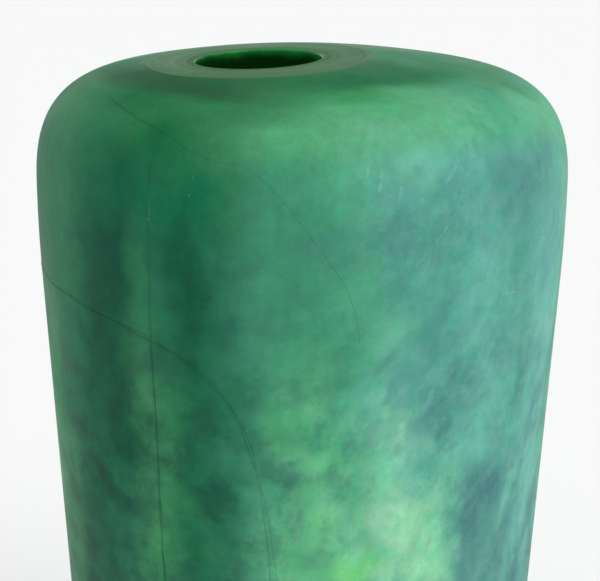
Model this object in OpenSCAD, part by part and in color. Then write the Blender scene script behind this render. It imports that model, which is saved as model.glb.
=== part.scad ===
// Broad-shouldered satin glass vase with a small off-centre mouth.
// Three cased layers of glass and four glass threads laid flush in the skin.
// Millimetres. Z is up, the front faces -Y, the foot stands on Z = 0.

/* [Body] */

// Largest radius, at the shoulder
body_radius = 100; // [60:1:160]

// Height of the largest radius above the foot
widest_height = 285; // [150:1:400]

// Radius lost per millimetre of height below the shoulder
side_taper = 0.063; // [0:0.001:0.15]

// Height over which the straight side blends into the shoulder
taper_blend = 37.5; // [10:0.5:80]

// Radius of the rounded heel above the foot
heel_radius = 22; // [5:1:40]

/* [Shoulder and crown] */

// Radius where the shoulder curve meets the shallow crown
crown_radius = 71; // [40:1:90]

// Height of that circle above the largest radius
crown_rise = 39; // [20:0.5:60]

// How straight the side runs before it turns in
shoulder_lift = 16.4; // [5:0.1:40]

// How far the crown line runs out before it turns down
shoulder_reach = 25; // [5:0.5:40]

// Slope of the crown where it meets the shoulder, in degrees
crown_slope = 10.5; // [0:0.1:25]

/* [Ground top and mouth] */

// Height of the ground plane above the largest radius, on the axis
ground_rise = 43.9; // [40:0.1:46]

// Sideways tilt of the ground plane, right side up, in degrees
ground_tilt_side = 2.45; // [0:0.05:6]

// Front-to-back tilt of the ground plane, back up, in degrees
ground_tilt_back = 0.9; // [0:0.05:3]

// Mouth centre, sideways from the axis
mouth_x = -16.5; // [-30:0.1:0]

// Mouth centre, front to back from the axis
mouth_y = -3.5; // [-10:0.1:10]

// Clear radius of the mouth
mouth_radius = 23.5; // [15:0.1:30]

// Width of the lining's ring at the mouth
lining_ring = 2; // [1:0.1:4]

// Width of the colour coat's ring at the mouth
coat_ring = 1.4; // [0.5:0.1:4]

// Rounding of the mouth edge
lip_round = 0.8; // [0.2:0.1:1.5]

/* [Wall] */

// Thickness of the outer casing at the side
casing_wall = 2.4; // [1.5:0.1:5]

// Thickness of the colour coat
coat_wall = 0.8; // [0.5:0.1:2]

// Thickness of the inner lining at the side
lining_wall = 2.2; // [1:0.1:5]

// Extra casing thickness at the crown, before grinding
casing_crown_extra = 1.6; // [1:0.1:3]

// Thickness of the casing at the foot
casing_foot = 5; // [3:0.5:10]

// Thickness of the lining at the foot
lining_foot = 7; // [3:0.5:15]

/* [Foot] */

// Radius of the flat standing ring
foot_radius = 62; // [40:1:80]

// Radius of the polished hollow under the foot
pontil_radius = 24; // [10:1:40]

// Depth of that hollow
pontil_depth = 2; // [1:0.25:4]

/* [Threads] */

// Width of each glass thread
thread_width = 0.6; // [0.4:0.05:1.5]

// Depth of the uppermost threads in the skin
thread_depth = 0.5; // [0.3:0.05:0.6]

// Compass angle of the vertical thread, from the front
vertical_angle = -31.4; // [-60:0.1:0]

// Height where the vertical thread ends at the top
vertical_top = 309; // [200:1:310]

// Height where the long threads end at the bottom
thread_bottom = 62; // [45:1:120]

// Height that the twisted pair nears where it wraps the side
pair_level = 259; // [200:0.5:280]

// Compass angle that the twisted pair nears where it runs down
pair_angle = -0.4; // [-20:0.1:20]

// Roundness of the pair's bend
pair_bend = 520; // [100:5:900]

// Half of the widest gap inside the twisted pair
pair_half_gap = 0.65; // [0.35:0.05:1.5]

// Length of the pair from one crossing to the next
pair_loop = 28; // [12:1:60]

// Height below which the pair stops crossing and parts
pair_split = 186; // [100:1:240]

/* [Hidden] */

$fn = 96;
eps = 0.01;

shoulder_steps = 16;
crown_steps = 8;
blend_steps = 6;
heel_steps = 8;
apex_slope = 1;
heel_height = 20;

// Depth of each layer boundary below the skin: [side, crown, foot].
skin = [0, 0, 0];
under_casing = [casing_wall, casing_wall + casing_crown_extra, casing_foot];
under_coat = under_casing + [coat_wall, coat_wall, coat_wall];
cavity = under_coat + [lining_wall, lining_wall, lining_foot];

coat_hole = mouth_radius + lining_ring;
casing_hole = coat_hole + coat_ring;
crown_slope_tan = tan(crown_slope);
apex_slope_tan = tan(apex_slope);

// ---- profile -------------------------------------------------------------

// Point of a cubic curve through four control points.
function cubic(a, b, c, d, t) =
    pow(1 - t, 3) * a + 3 * pow(1 - t, 2) * t * b
    + 3 * (1 - t) * t * t * c + pow(t, 3) * d;

// Radius of the side at a drop below the widest height.
function side_radius(drop) =
    drop > taper_blend
    ? body_radius - side_taper * (drop - taper_blend / 2)
    : body_radius - side_taper * drop * drop / (2 * taper_blend);

// Height of the crown above the shoulder at a distance in from crown_radius.
function crown_height(inward) =
    crown_slope_tan * inward
    + (apex_slope_tan - crown_slope_tan) * inward * inward / (2 * crown_radius);

// Right half of the outline, foot to apex, at the given layer depths.
function heel_points(in) =
    let (top_z = heel_height + heel_radius,
         top_r = side_radius(widest_height - top_z) - in[0],
         bottom_r = foot_radius - in[0] / 2,
         bottom_z = in[2])
    [for (i = [0 : heel_steps])
        cubic([bottom_r, bottom_z],
              [bottom_r + (top_r - bottom_r) * 0.75, bottom_z],
              [top_r - side_taper * heel_radius, bottom_z + 0.4 * (top_z - bottom_z)],
              [top_r, top_z], i / heel_steps)];

function blend_points(in) =
    [for (i = [0 : blend_steps - 1])
        let (drop = taper_blend * (1 - i / blend_steps))
        [side_radius(drop) - in[0], widest_height - drop]];

function shoulder_points(in) =
    [for (i = [0 : shoulder_steps])
        cubic([body_radius - in[0], widest_height],
              [body_radius - in[0], widest_height + shoulder_lift],
              [crown_radius + shoulder_reach - in[0],
               widest_height + crown_rise - in[1] - shoulder_reach * crown_slope_tan],
              [crown_radius, widest_height + crown_rise - in[1]], i / shoulder_steps)];

function crown_points(in) =
    [for (i = [1 : crown_steps])
        let (inward = crown_radius * i / crown_steps)
        [crown_radius - inward,
         widest_height + crown_rise - in[1] + crown_height(inward)]];

function half_outline(in) =
    concat(heel_points(in), blend_points(in), shoulder_points(in), crown_points(in));

// Everything inside a layer boundary, as one turned solid.
module turned(in) {
    rotate_extrude()
        polygon(concat([[0, in[2]]], half_outline(in)));
}

// The wall between two layer boundaries.
module wall(outer, inner) {
    difference() {
        turned(outer);
        turned(inner);
    }
}

// ---- ground top and mouth --------------------------------------------------

// Moves children to the mouth, square to the ground plane.
module at_mouth() {
    translate([mouth_x, mouth_y,
               widest_height + ground_rise + mouth_x * tan(ground_tilt_side)
               + mouth_y * tan(ground_tilt_back)])
        rotate([ground_tilt_back, -ground_tilt_side, 0])
            children();
}

module above_ground_plane() {
    at_mouth()
        translate([-2 * body_radius, -2 * body_radius, 0])
            cube([4 * body_radius, 4 * body_radius, body_radius]);
}

module mouth_plug(radius) {
    at_mouth()
        translate([0, 0, -20])
            cylinder(r = radius, h = 40);
}

// The bore of the mouth, flared by the rounded lip.
module mouth_bore() {
    at_mouth()
        rotate_extrude()
            polygon(concat(
                [[0, -20], [mouth_radius, -20]],
                [for (i = [0 : 6])
                    let (turn = 15 * i)
                    [mouth_radius + lip_round * (1 - cos(turn)),
                     -lip_round * (1 - sin(turn))]],
                [[mouth_radius + lip_round, 20], [0, 20]]));
}

// The polished hollow under the foot: a shallow cap of a large ball.
module pontil_hollow() {
    ball = (pontil_radius * pontil_radius + pontil_depth * pontil_depth)
           / (2 * pontil_depth);
    rotate_extrude()
        polygon(concat([[0, -1], [0, pontil_depth]],
            [for (i = [1 : 8])
                let (r = pontil_radius * i / 8)
                [r, pontil_depth - ball + sqrt(ball * ball - r * r)]],
            [[pontil_radius, -1]]));
}

// The edge of an inner layer, turned up through the layers outside it, so
// that it shows as a ring round the mouth.
module turned_up_edge(inner, ring_radius) {
    intersection() {
        wall(skin, inner);
        mouth_plug(ring_radius);
    }
}

// Cuts children off at the ground plane.
module ground_flat() {
    difference() {
        children();
        above_ground_plane();
    }
}

// ---- threads ---------------------------------------------------------------

// A thin shell of the skin, down to a depth.
module skin_shell(depth) {
    wall(skin, [depth, depth, depth]);
}

// Unit normal of a flat path at point i.
function path_normal(path, i) =
    let (a = path[max(i - 1, 0)],
         b = path[min(i + 1, len(path) - 1)],
         along = (b - a) / norm(b - a))
    [-along[1], along[0]];

// Outline of a ribbon of constant width along a flat path.
function ribbon(path, width) =
    let (last = len(path) - 1)
    concat(
        [for (i = [0 : last]) path[i] + path_normal(path, i) * width / 2],
        [for (i = [last : -1 : 0]) path[i] - path_normal(path, i) * width / 2]);

// Cuts a ribbon out of the skin. Its path is drawn sideways and upright, as
// seen from the compass angle called facing.
module laid_in_skin(path, facing, depth) {
    intersection() {
        skin_shell(depth);
        rotate([0, 0, facing])
            rotate([90, 0, 0])
                linear_extrude(height = body_radius + 10)
                    polygon(ribbon(path, thread_width));
    }
}

// Sideways position, seen from a compass angle, of a point of the side.
function seen_sideways(angle, height, facing) =
    side_radius(widest_height - height) * sin(angle - facing);

// The twisted pair follows a hyperbola: level round the side, then down.
// w runs evenly along it, in millimetres, positive on the level branch.
mm_per_degree = body_radius * PI / 180;
function pair_run(w) =
    (w + sqrt(w * w + 4 * pair_bend * mm_per_degree)) / 2 / mm_per_degree;

function pair_point(w) =
    let (run = pair_run(w), height = pair_level - pair_bend / run)
    [seen_sideways(pair_angle - run, height, pair_facing), height];

pair_facing = -45;
pair_steps = 84;
pair_first = 152;
pair_last = -(pair_level - thread_bottom);
pair_line = [for (i = [0 : pair_steps])
    pair_point(pair_first + (pair_last - pair_first) * i / pair_steps)];

// Distance of one thread of the pair from the middle line.
function weave(i, side) =
    let (travel = (pair_first - pair_last) * i / pair_steps,
         parted = max(0, pair_split - pair_line[i][1]),
         held = max(0, 1 - parted / pair_loop))
    side * (pair_half_gap * held * sin(180 * travel / pair_loop) + 0.045 * parted);

function pair_strand(side) =
    [for (i = [0 : pair_steps]) pair_line[i] + path_normal(pair_line, i) * weave(i, side)];

// Knots of the shoulder thread: compass angle and height.
shoulder_facing = -20;
shoulder_knots = [
    [-56, 320.5], [-43, 317.5], [-30, 313], [-23, 308.5], [-17, 306], [-11.5, 305],
    [-7, 300], [-2, 291.5], [3.5, 278.5], [8.4, 266], [10.9, 254], [11.8, 243]];

// Radius of the shoulder, close enough to aim a ribbon.
function shoulder_radius(height) =
    let (rise = max(0, height - widest_height) / crown_rise)
    body_radius - (body_radius - crown_radius) * pow(rise, 3.5);

// Smooth curve through a list of knots, four steps to a span.
function through(knots) =
    let (last = len(knots) - 1)
    [for (i = [0 : last - 1], k = [0 : 3])
        let (a = knots[max(i - 1, 0)], b = knots[i],
             c = knots[i + 1], d = knots[min(i + 2, last)])
        cubic(b, b + (c - a) / 6, c - (d - b) / 6, c, k / 4)];

shoulder_line = [for (p = through(shoulder_knots))
    [shoulder_radius(p[1]) * sin(p[0] - shoulder_facing), p[1]]];

vertical_line = [[0, thread_bottom], [0, vertical_top]];

// The deeper threads pass under the shallower ones.
module strand_a_space() {
    laid_in_skin(pair_strand(-1), pair_facing, thread_depth);
}

module strand_b_space() {
    laid_in_skin(pair_strand(1), pair_facing, thread_depth + 0.4);
}

module vertical_space() {
    laid_in_skin(vertical_line, vertical_angle, thread_depth + 0.8);
}

module shoulder_space() {
    laid_in_skin(shoulder_line, shoulder_facing, thread_depth);
}

// ---- sub-parts -------------------------------------------------------------

module outer_casing() {
    color([0.25, 0.6, 0.42])
        difference() {
            ground_flat()
                wall(skin, under_casing);
            mouth_plug(casing_hole);
            pontil_hollow();
            strand_a_space();
            strand_b_space();
            vertical_space();
            shoulder_space();
        }
}

module colour_coat() {
    color([0.1, 0.38, 0.33])
        difference() {
            ground_flat() {
                wall(under_casing, under_coat);
                turned_up_edge(under_coat, casing_hole);
            }
            mouth_plug(coat_hole);
        }
}

module inner_lining() {
    color([0.05, 0.42, 0.16])
        difference() {
            ground_flat() {
                wall(under_coat, cavity);
                turned_up_edge(cavity, coat_hole);
            }
            mouth_bore();
        }
}

module vertical_thread() {
    color([0.14, 0.22, 0.16])
        difference() {
            vertical_space();
            strand_a_space();
            strand_b_space();
        }
}

module curved_thread_a() {
    color([0.05, 0.2, 0.18])
        strand_a_space();
}

module curved_thread_b() {
    color([0.05, 0.24, 0.2])
        difference() {
            strand_b_space();
            strand_a_space();
        }
}

module shoulder_thread() {
    color([0.2, 0.45, 0.33])
        shoulder_space();
}

outer_casing();
colour_coat();
inner_lining();
vertical_thread();
curved_thread_a();
curved_thread_b();
shoulder_thread();
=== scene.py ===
# Satin glass vase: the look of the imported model, in metres.
# The outline repeats the formulas of the CAD source, at a finer step.

import math

import bpy
from mathutils import Matrix, Vector, noise


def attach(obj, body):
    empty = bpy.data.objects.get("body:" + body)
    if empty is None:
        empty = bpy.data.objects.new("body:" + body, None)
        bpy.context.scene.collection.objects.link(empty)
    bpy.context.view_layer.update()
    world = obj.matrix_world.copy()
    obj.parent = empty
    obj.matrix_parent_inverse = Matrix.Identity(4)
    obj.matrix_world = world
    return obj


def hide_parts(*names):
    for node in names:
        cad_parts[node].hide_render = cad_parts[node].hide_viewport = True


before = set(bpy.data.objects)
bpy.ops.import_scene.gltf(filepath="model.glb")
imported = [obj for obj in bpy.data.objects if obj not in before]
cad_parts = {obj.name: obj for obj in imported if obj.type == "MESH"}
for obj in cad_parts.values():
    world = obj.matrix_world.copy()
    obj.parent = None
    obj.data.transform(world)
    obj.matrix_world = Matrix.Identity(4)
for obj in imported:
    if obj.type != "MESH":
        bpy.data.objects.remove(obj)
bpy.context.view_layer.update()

MM = 0.001

# ---- driving dimensions, the same as in the CAD source, in millimetres ------

BODY_RADIUS = 100.0
WIDEST_HEIGHT = 285.0
SIDE_TAPER = 0.063
TAPER_BLEND = 37.5
HEEL_RADIUS = 22.0
HEEL_HEIGHT = 20.0

CROWN_RADIUS = 71.0
CROWN_RISE = 39.0
SHOULDER_LIFT = 16.4
SHOULDER_REACH = 25.0
CROWN_SLOPE = math.tan(math.radians(10.5))
APEX_SLOPE = math.tan(math.radians(1.0))

GROUND_RISE = 43.9
TILT_SIDE = math.radians(2.45)
TILT_BACK = math.radians(0.9)
MOUTH_X = -16.5
MOUTH_Y = -3.5
MOUTH_RADIUS = 23.5
COAT_HOLE = MOUTH_RADIUS + 2.0
CASING_HOLE = COAT_HOLE + 1.4
LIP_ROUND = 0.8
LIP_FLAT_RADIUS = COAT_HOLE - 0.6

FOOT_RADIUS = 62.0
PONTIL_RADIUS = 24.0
PONTIL_DEPTH = 2.0

# Depth of each layer boundary below the skin: side, crown, foot.
SKIN = (0.0, 0.0, 0.0)
UNDER_CASING = (2.4, 4.0, 5.0)
UNDER_COAT = (3.2, 4.8, 5.8)
CAVITY = (5.4, 7.0, 12.8)

# Softness of the edge between the crown and the ground flat.
EDGE_SOFTNESS = 0.16

# Steps of the mesh: round the body, then along each stretch of the outline.
SEGMENTS = 256
HOLLOW_STEPS = 12
HEEL_STEPS = 14
SIDE_STEPS = 40
SHOULDER_STEPS = 24
CROWN_STEPS = 40
MOUTH_EDGE_STEPS = 3
LIP_STEPS = 8
CAVITY_FLOOR_RADII = (0.5, 15.0, 30.0, 45.0)
STANDING_RING_RADII = (24.6, 27.0, 36.0, 48.0, 58.0)

# How strongly the heel curve is held to the foot and to the side.
HEEL_ALONG_FOOT = 0.75
HEEL_UP_SIDE = 0.4


# ---- outline ----------------------------------------------------------------

def cubic(a, b, c, d, t):
    """Point of a cubic curve through four control points."""
    s = 1 - t
    return tuple(
        s ** 3 * a[k] + 3 * s * s * t * b[k] + 3 * s * t * t * c[k] + t ** 3 * d[k]
        for k in range(len(a))
    )


def side_radius(drop):
    """Radius of the side at a drop below the widest height."""
    if drop > TAPER_BLEND:
        return BODY_RADIUS - SIDE_TAPER * (drop - TAPER_BLEND / 2)
    return BODY_RADIUS - SIDE_TAPER * drop * drop / (2 * TAPER_BLEND)


def crown_height(radius):
    """Height of the crown above the crown circle, at a radius inside it."""
    inward = CROWN_RADIUS - radius
    bend = (APEX_SLOPE - CROWN_SLOPE) * inward * inward / (2 * CROWN_RADIUS)
    return CROWN_SLOPE * inward + bend


def foot_rings(depth):
    """Rings of the underside, from the axis out to the heel."""
    if depth[2] > 0:
        return [(r, depth[2]) for r in CAVITY_FLOOR_RADII]
    ball = (PONTIL_RADIUS ** 2 + PONTIL_DEPTH ** 2) / (2 * PONTIL_DEPTH)
    hollow = []
    for i in range(1, HOLLOW_STEPS + 1):
        r = PONTIL_RADIUS * i / HOLLOW_STEPS
        hollow.append((r, PONTIL_DEPTH - ball + math.sqrt(ball * ball - r * r)))
    return hollow + [(r, 0.0) for r in STANDING_RING_RADII]


def heel_rings(depth, steps):
    """Rings of the rounded heel."""
    top_z = HEEL_HEIGHT + HEEL_RADIUS
    top_r = side_radius(WIDEST_HEIGHT - top_z) - depth[0]
    bottom_r = FOOT_RADIUS - depth[0] / 2
    bottom_z = depth[2]
    a = (bottom_r, bottom_z)
    b = (bottom_r + (top_r - bottom_r) * HEEL_ALONG_FOOT, bottom_z)
    c = (top_r - SIDE_TAPER * HEEL_RADIUS, bottom_z + HEEL_UP_SIDE * (top_z - bottom_z))
    d = (top_r, top_z)
    return [cubic(a, b, c, d, i / steps) for i in range(steps + 1)]


def side_rings(depth, steps):
    """Rings of the tapered side, up to just under the widest height."""
    bottom = WIDEST_HEIGHT - HEEL_HEIGHT - HEEL_RADIUS
    drops = [bottom * (1 - i / steps) for i in range(1, steps)]
    return [(side_radius(drop) - depth[0], WIDEST_HEIGHT - drop) for drop in drops]


def shoulder_rings(depth, steps):
    """Rings of the shoulder, from the widest height to the crown circle."""
    base = WIDEST_HEIGHT + CROWN_RISE - depth[1]
    a = (BODY_RADIUS - depth[0], WIDEST_HEIGHT)
    b = (BODY_RADIUS - depth[0], WIDEST_HEIGHT + SHOULDER_LIFT)
    c = (CROWN_RADIUS + SHOULDER_REACH - depth[0], base - SHOULDER_REACH * CROWN_SLOPE)
    d = (CROWN_RADIUS, base)
    return [cubic(a, b, c, d, i / steps) for i in range(steps + 1)]


def outline(depth, fine):
    """All rings from the foot's middle to the crown circle: (radius, height)."""
    return (
        foot_rings(depth)
        + heel_rings(depth, HEEL_STEPS * fine)
        + side_rings(depth, SIDE_STEPS * fine)
        + shoulder_rings(depth, SHOULDER_STEPS * fine)
    )


# ---- ground top and mouth ---------------------------------------------------

def ground_height(x, y):
    """Height of the ground plane."""
    tilt = x * math.tan(TILT_SIDE) + y * math.tan(TILT_BACK)
    return WIDEST_HEIGHT + GROUND_RISE + tilt


def surface_height(x, y, depth):
    """Height of a layer boundary over the crown, cut off at the ground plane."""
    rise = crown_height(math.hypot(x, y))
    dome = WIDEST_HEIGHT + CROWN_RISE - depth[1] + rise
    flat = ground_height(x, y)
    if depth[1] > 0:
        return min(dome, flat)
    gap = dome - flat
    near = max(0.0, 1 - abs(gap) / EDGE_SOFTNESS)
    return min(dome, flat) - EDGE_SOFTNESS * near * near / 4


def mouth_direction(angle):
    """Unit vector from the mouth's middle towards a point of the crown circle."""
    x = CROWN_RADIUS * math.sin(angle) - MOUTH_X
    y = -CROWN_RADIUS * math.cos(angle) - MOUTH_Y
    length = math.hypot(x, y)
    return x / length, y / length


def mouth_ring(radius, height_of):
    """Ring round the mouth. height_of gives the height at x, y."""
    ring = []
    for j in range(SEGMENTS):
        dx, dy = mouth_direction(2 * math.pi * j / SEGMENTS)
        x = MOUTH_X + radius * dx
        y = MOUTH_Y + radius * dy
        ring.append((x, y, height_of(x, y)))
    return ring


def turned_ring(radius, height):
    """Ring round the axis of the body."""
    ring = []
    for j in range(SEGMENTS):
        angle = 2 * math.pi * j / SEGMENTS
        ring.append((radius * math.sin(angle), -radius * math.cos(angle), height))
    return ring


def crown_rings(depth, hole, steps):
    """Rings that run in from the crown circle to a hole round the mouth."""
    rings = []
    for i in range(1, steps + 1):
        t = i / steps
        ring = []
        for j in range(SEGMENTS):
            angle = 2 * math.pi * j / SEGMENTS
            dx, dy = mouth_direction(angle)
            x = (1 - t) * CROWN_RADIUS * math.sin(angle) + t * (MOUTH_X + hole * dx)
            y = -(1 - t) * CROWN_RADIUS * math.cos(angle) + t * (MOUTH_Y + hole * dy)
            ring.append((x, y, surface_height(x, y, depth)))
        rings.append(ring)
    return rings


def face_rings(depth, hole, fine):
    """One face of a layer, from the foot's middle to the mouth."""
    rings = [turned_ring(r, z) for r, z in outline(depth, fine)]
    return rings + crown_rings(depth, hole, CROWN_STEPS * fine)


# ---- mesh -------------------------------------------------------------------

def mesh_object(name, verts, faces):
    """New smooth-shaded object in the shared frame, from millimetres."""
    mesh = bpy.data.meshes.new(name)
    mesh.from_pydata([Vector(v) * MM for v in verts], [], faces)
    mesh.polygons.foreach_set("use_smooth", [True] * len(mesh.polygons))
    mesh.update()
    obj = bpy.data.objects.new(name, mesh)
    bpy.context.scene.collection.objects.link(obj)
    return obj


def skin_over(rings, closed_start, closed_end):
    """Vertices and faces over a list of rings. A closed end gets a fan."""
    verts = [v for ring in rings for v in ring]
    faces = []
    for i in range(len(rings) - 1):
        low = i * SEGMENTS
        high = low + SEGMENTS
        for j in range(SEGMENTS):
            k = (j + 1) % SEGMENTS
            faces.append((low + j, low + k, high + k, high + j))
    if closed_start is not None:
        hub = len(verts)
        verts.append(closed_start)
        faces += [(hub, (j + 1) % SEGMENTS, j) for j in range(SEGMENTS)]
    if closed_end is not None:
        hub = len(verts)
        verts.append(closed_end)
        last = (len(rings) - 1) * SEGMENTS
        faces += [(hub, last + j, last + (j + 1) % SEGMENTS) for j in range(SEGMENTS)]
    return verts, faces


def layer(name, outer, inner, outer_hole, inner_hole, edge_rings, fine):
    """One closed layer of glass: outer face, edge at the mouth, inner face."""
    outside = face_rings(outer, outer_hole, fine)
    inside = face_rings(inner, inner_hole, 1)
    rings = outside + edge_rings + inside[::-1]
    start = (0.0, 0.0, PONTIL_DEPTH if outer[2] == 0 else outer[2])
    verts, faces = skin_over(rings, start, (0.0, 0.0, inner[2]))
    return mesh_object(name, verts, faces)


def flat_edge(outer_hole, inner_hole):
    """Edge of a layer, ground flat: a plane ring round the mouth."""
    rings = []
    for i in range(MOUTH_EDGE_STEPS + 1):
        radius = outer_hole + (inner_hole - outer_hole) * i / MOUTH_EDGE_STEPS
        rings.append(mouth_ring(radius, ground_height))
    return rings


def lip_edge():
    """Ground ring of the lining, rounded over into the bore."""
    rings = [mouth_ring(radius, ground_height) for radius in (COAT_HOLE, LIP_FLAT_RADIUS)]
    for i in range(LIP_STEPS + 1):
        turn = math.pi / 2 * (1 - i / LIP_STEPS)
        radius = MOUTH_RADIUS + LIP_ROUND * (1 - math.cos(turn))
        drop = LIP_ROUND * (1 - math.sin(turn))
        rings.append(mouth_ring(radius, lambda x, y, d=drop: ground_height(x, y) - d))
    return rings


def make_layers():
    """The three layers of the wall."""
    casing = layer("satin_casing", SKIN, UNDER_CASING, CASING_HOLE, CASING_HOLE, [], 2)
    coat = layer("powder_coat", UNDER_CASING, UNDER_COAT, CASING_HOLE, COAT_HOLE,
                 flat_edge(CASING_HOLE, COAT_HOLE), 1)
    lining = layer("emerald_lining", UNDER_COAT, CAVITY, COAT_HOLE, MOUTH_RADIUS,
                   lip_edge(), 1)
    return casing, coat, lining


# ---- threads ----------------------------------------------------------------

def skin_point(angle, height, proud):
    """Point at a compass angle in degrees and a height, proud of the skin."""
    radius = skin_radius(height) + proud
    turn = math.radians(angle)
    return Vector((radius * math.sin(turn), -radius * math.cos(turn), height))


SHOULDER_TABLE = shoulder_rings(SKIN, 200)


def skin_radius(height):
    """Radius of the skin at a height on the side or the shoulder."""
    if height <= WIDEST_HEIGHT:
        return side_radius(WIDEST_HEIGHT - height)
    for (r0, z0), (r1, z1) in zip(SHOULDER_TABLE, SHOULDER_TABLE[1:]):
        if z0 <= height <= z1:
            return r0 + (r1 - r0) * (height - z0) / (z1 - z0)
    return CROWN_RADIUS


def resample(points, spacing):
    """Points at an even spacing along a polyline."""
    even = [points[0]]
    left = spacing
    for a, b in zip(points, points[1:]):
        length = (b - a).length
        done = 0.0
        while length - done >= left:
            done += left
            even.append(a.lerp(b, done / length))
            left = spacing
        left -= length - done
    return even


# How far a thread stands proud of the satin skin, and its mesh.
THREAD_LIFT = 0.06
THREAD_SIDES = 10
THREAD_SPACING = 0.8
# A thread thins towards its ends over so many rings, to this part of its width.
THREAD_END_RINGS = 12
THREAD_END_WIDTH = 0.25


def thread_tube(name, points, radius, wobble, seed):
    """Hair-fine tube along points of the skin, with slightly uneven width."""
    rings = []
    for i, p in enumerate(points):
        ahead = points[min(i + 1, len(points) - 1)]
        behind = points[max(i - 1, 0)]
        along = (ahead - behind).normalized()
        out = Vector((p.x, p.y, 0)).normalized()
        across = along.cross(out).normalized()
        out = across.cross(along)
        drift = noise.noise(p * 0.11 + Vector((seed, 0, 0)))
        fine_drift = noise.noise(p * 0.5 + Vector((0, seed, 0)))
        swell = 1 + wobble * (0.6 * drift + 0.4 * fine_drift)
        inside = min(1.0, (i + 1) / THREAD_END_RINGS, (len(points) - i) / THREAD_END_RINGS)
        width = radius * swell * (THREAD_END_WIDTH + (1 - THREAD_END_WIDTH) * inside)
        ring = []
        for k in range(THREAD_SIDES):
            turn = 2 * math.pi * k / THREAD_SIDES
            lift = THREAD_LIFT * math.sin(turn)
            ring.append(p + width * math.cos(turn) * across + lift * out)
        rings.append(ring)
    verts = [v for ring in rings for v in ring]
    faces = []
    for i in range(len(rings) - 1):
        low = i * THREAD_SIDES
        high = low + THREAD_SIDES
        for k in range(THREAD_SIDES):
            n = (k + 1) % THREAD_SIDES
            faces.append((low + k, low + n, high + n, high + k))
    faces.append(tuple(range(THREAD_SIDES))[::-1])
    last = (len(rings) - 1) * THREAD_SIDES
    faces.append(tuple(last + k for k in range(THREAD_SIDES)))
    return mesh_object(name, verts, faces)


# Lower end of three of the threads.
THREAD_BOTTOM = 62.0
MM_PER_DEGREE = BODY_RADIUS * math.pi / 180

# The twisted pair runs along a hyperbola: level on the left side of the body,
# plumb near the front. Its bend is in millimetres of height times degrees.
PAIR_LEVEL = 259.0
PAIR_ANGLE = -0.4
PAIR_BEND = 520.0
PAIR_FIRST_STEP = 152
# Half the gap and the length of one loop of the twist.
PAIR_HALF_GAP = 0.65
PAIR_LOOP = 28.0
PAIR_OVERLAP = 0.03
# Below this height the strands part, by so much for each mm of height.
PAIR_SPLIT = 186.0
PAIR_SPREAD = 0.045


def pair_middle():
    """Middle line of the twisted pair: compass angle and height, about 1 mm apart."""
    last = -int(PAIR_LEVEL - THREAD_BOTTOM)
    line = []
    for w in range(PAIR_FIRST_STEP, last - 1, -1):
        run = (w + math.sqrt(w * w + 4 * PAIR_BEND * MM_PER_DEGREE)) / 2 / MM_PER_DEGREE
        line.append((PAIR_ANGLE - run, PAIR_LEVEL - PAIR_BEND / run))
    return line


def pair_strand(side):
    """One strand of the pair, weaving about the middle line."""
    line = pair_middle()
    middle = [skin_point(angle, height, 0.0) for angle, height in line]
    points = []
    travel = 0.0
    for i, p in enumerate(middle):
        ahead = middle[min(i + 1, len(middle) - 1)]
        behind = middle[max(i - 1, 0)]
        travel += (p - behind).length
        out = Vector((p.x, p.y, 0)).normalized()
        across = (ahead - behind).normalized().cross(out)
        parted = max(0.0, PAIR_SPLIT - p.z)
        held = max(0.0, 1 - parted / PAIR_LOOP)
        phase = math.pi * travel / PAIR_LOOP
        sway = PAIR_HALF_GAP * held * math.sin(phase) + PAIR_SPREAD * parted
        over = PAIR_OVERLAP * held * math.cos(phase)
        points.append(p - side * sway * across + side * over * out)
    return resample(points, THREAD_SPACING)


# Compass angle and upper end of the vertical thread.
VERTICAL_ANGLE = -31.4
VERTICAL_TOP = 309.0
VERTICAL_STEPS = 300


def vertical_points():
    """The vertical hairline, with the slight drift of a hot thread."""
    points = []
    for i in range(VERTICAL_STEPS + 1):
        height = VERTICAL_TOP + (THREAD_BOTTOM - VERTICAL_TOP) * i / VERTICAL_STEPS
        drift = 0.5 * noise.noise(Vector((0.0, 3.7, height * 0.025)))
        drift += 0.18 * noise.noise(Vector((5.1, 0.0, height * 0.12)))
        points.append(skin_point(VERTICAL_ANGLE + drift, height, 0.0))
    return resample(points, THREAD_SPACING)


# Compass angle and height of the shoulder thread's knots.
SHOULDER_KNOTS = [
    (-56, 320.5), (-43, 317.5), (-30, 313), (-23, 308.5), (-17, 306), (-11.5, 305),
    (-7, 300), (-2, 291.5), (3.5, 278.5), (8.4, 266), (10.9, 254), (11.8, 243)]
# Steps of the curve from one knot to the next.
KNOT_STEPS = 10


def shoulder_points():
    """The faint thread over the shoulder, a smooth curve through its knots."""
    points = []
    last = len(SHOULDER_KNOTS) - 1
    for i in range(last):
        a = SHOULDER_KNOTS[max(i - 1, 0)]
        b = SHOULDER_KNOTS[i]
        c = SHOULDER_KNOTS[i + 1]
        d = SHOULDER_KNOTS[min(i + 2, last)]
        b_out = tuple(b[k] + (c[k] - a[k]) / 6 for k in (0, 1))
        c_in = tuple(c[k] - (d[k] - b[k]) / 6 for k in (0, 1))
        for k in range(KNOT_STEPS):
            angle, height = cubic(b, b_out, c_in, c, k / KNOT_STEPS)
            points.append(skin_point(angle, height, 0.0))
    return resample(points, THREAD_SPACING)


def make_threads():
    """The four glass threads, laid in the skin."""
    vertical = thread_tube("vertical_hairline", vertical_points(), 0.45, 0.9, 2.0)
    strand_a = thread_tube("twisted_strand_a", pair_strand(-1), 0.28, 0.6, 7.0)
    strand_b = thread_tube("twisted_strand_b", pair_strand(1), 0.28, 0.6, 11.0)
    shoulder = thread_tube("shoulder_hairline", shoulder_points(), 0.4, 0.5, 17.0)
    return vertical, strand_a, strand_b, shoulder


# ---- shader helpers ---------------------------------------------------------

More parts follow.
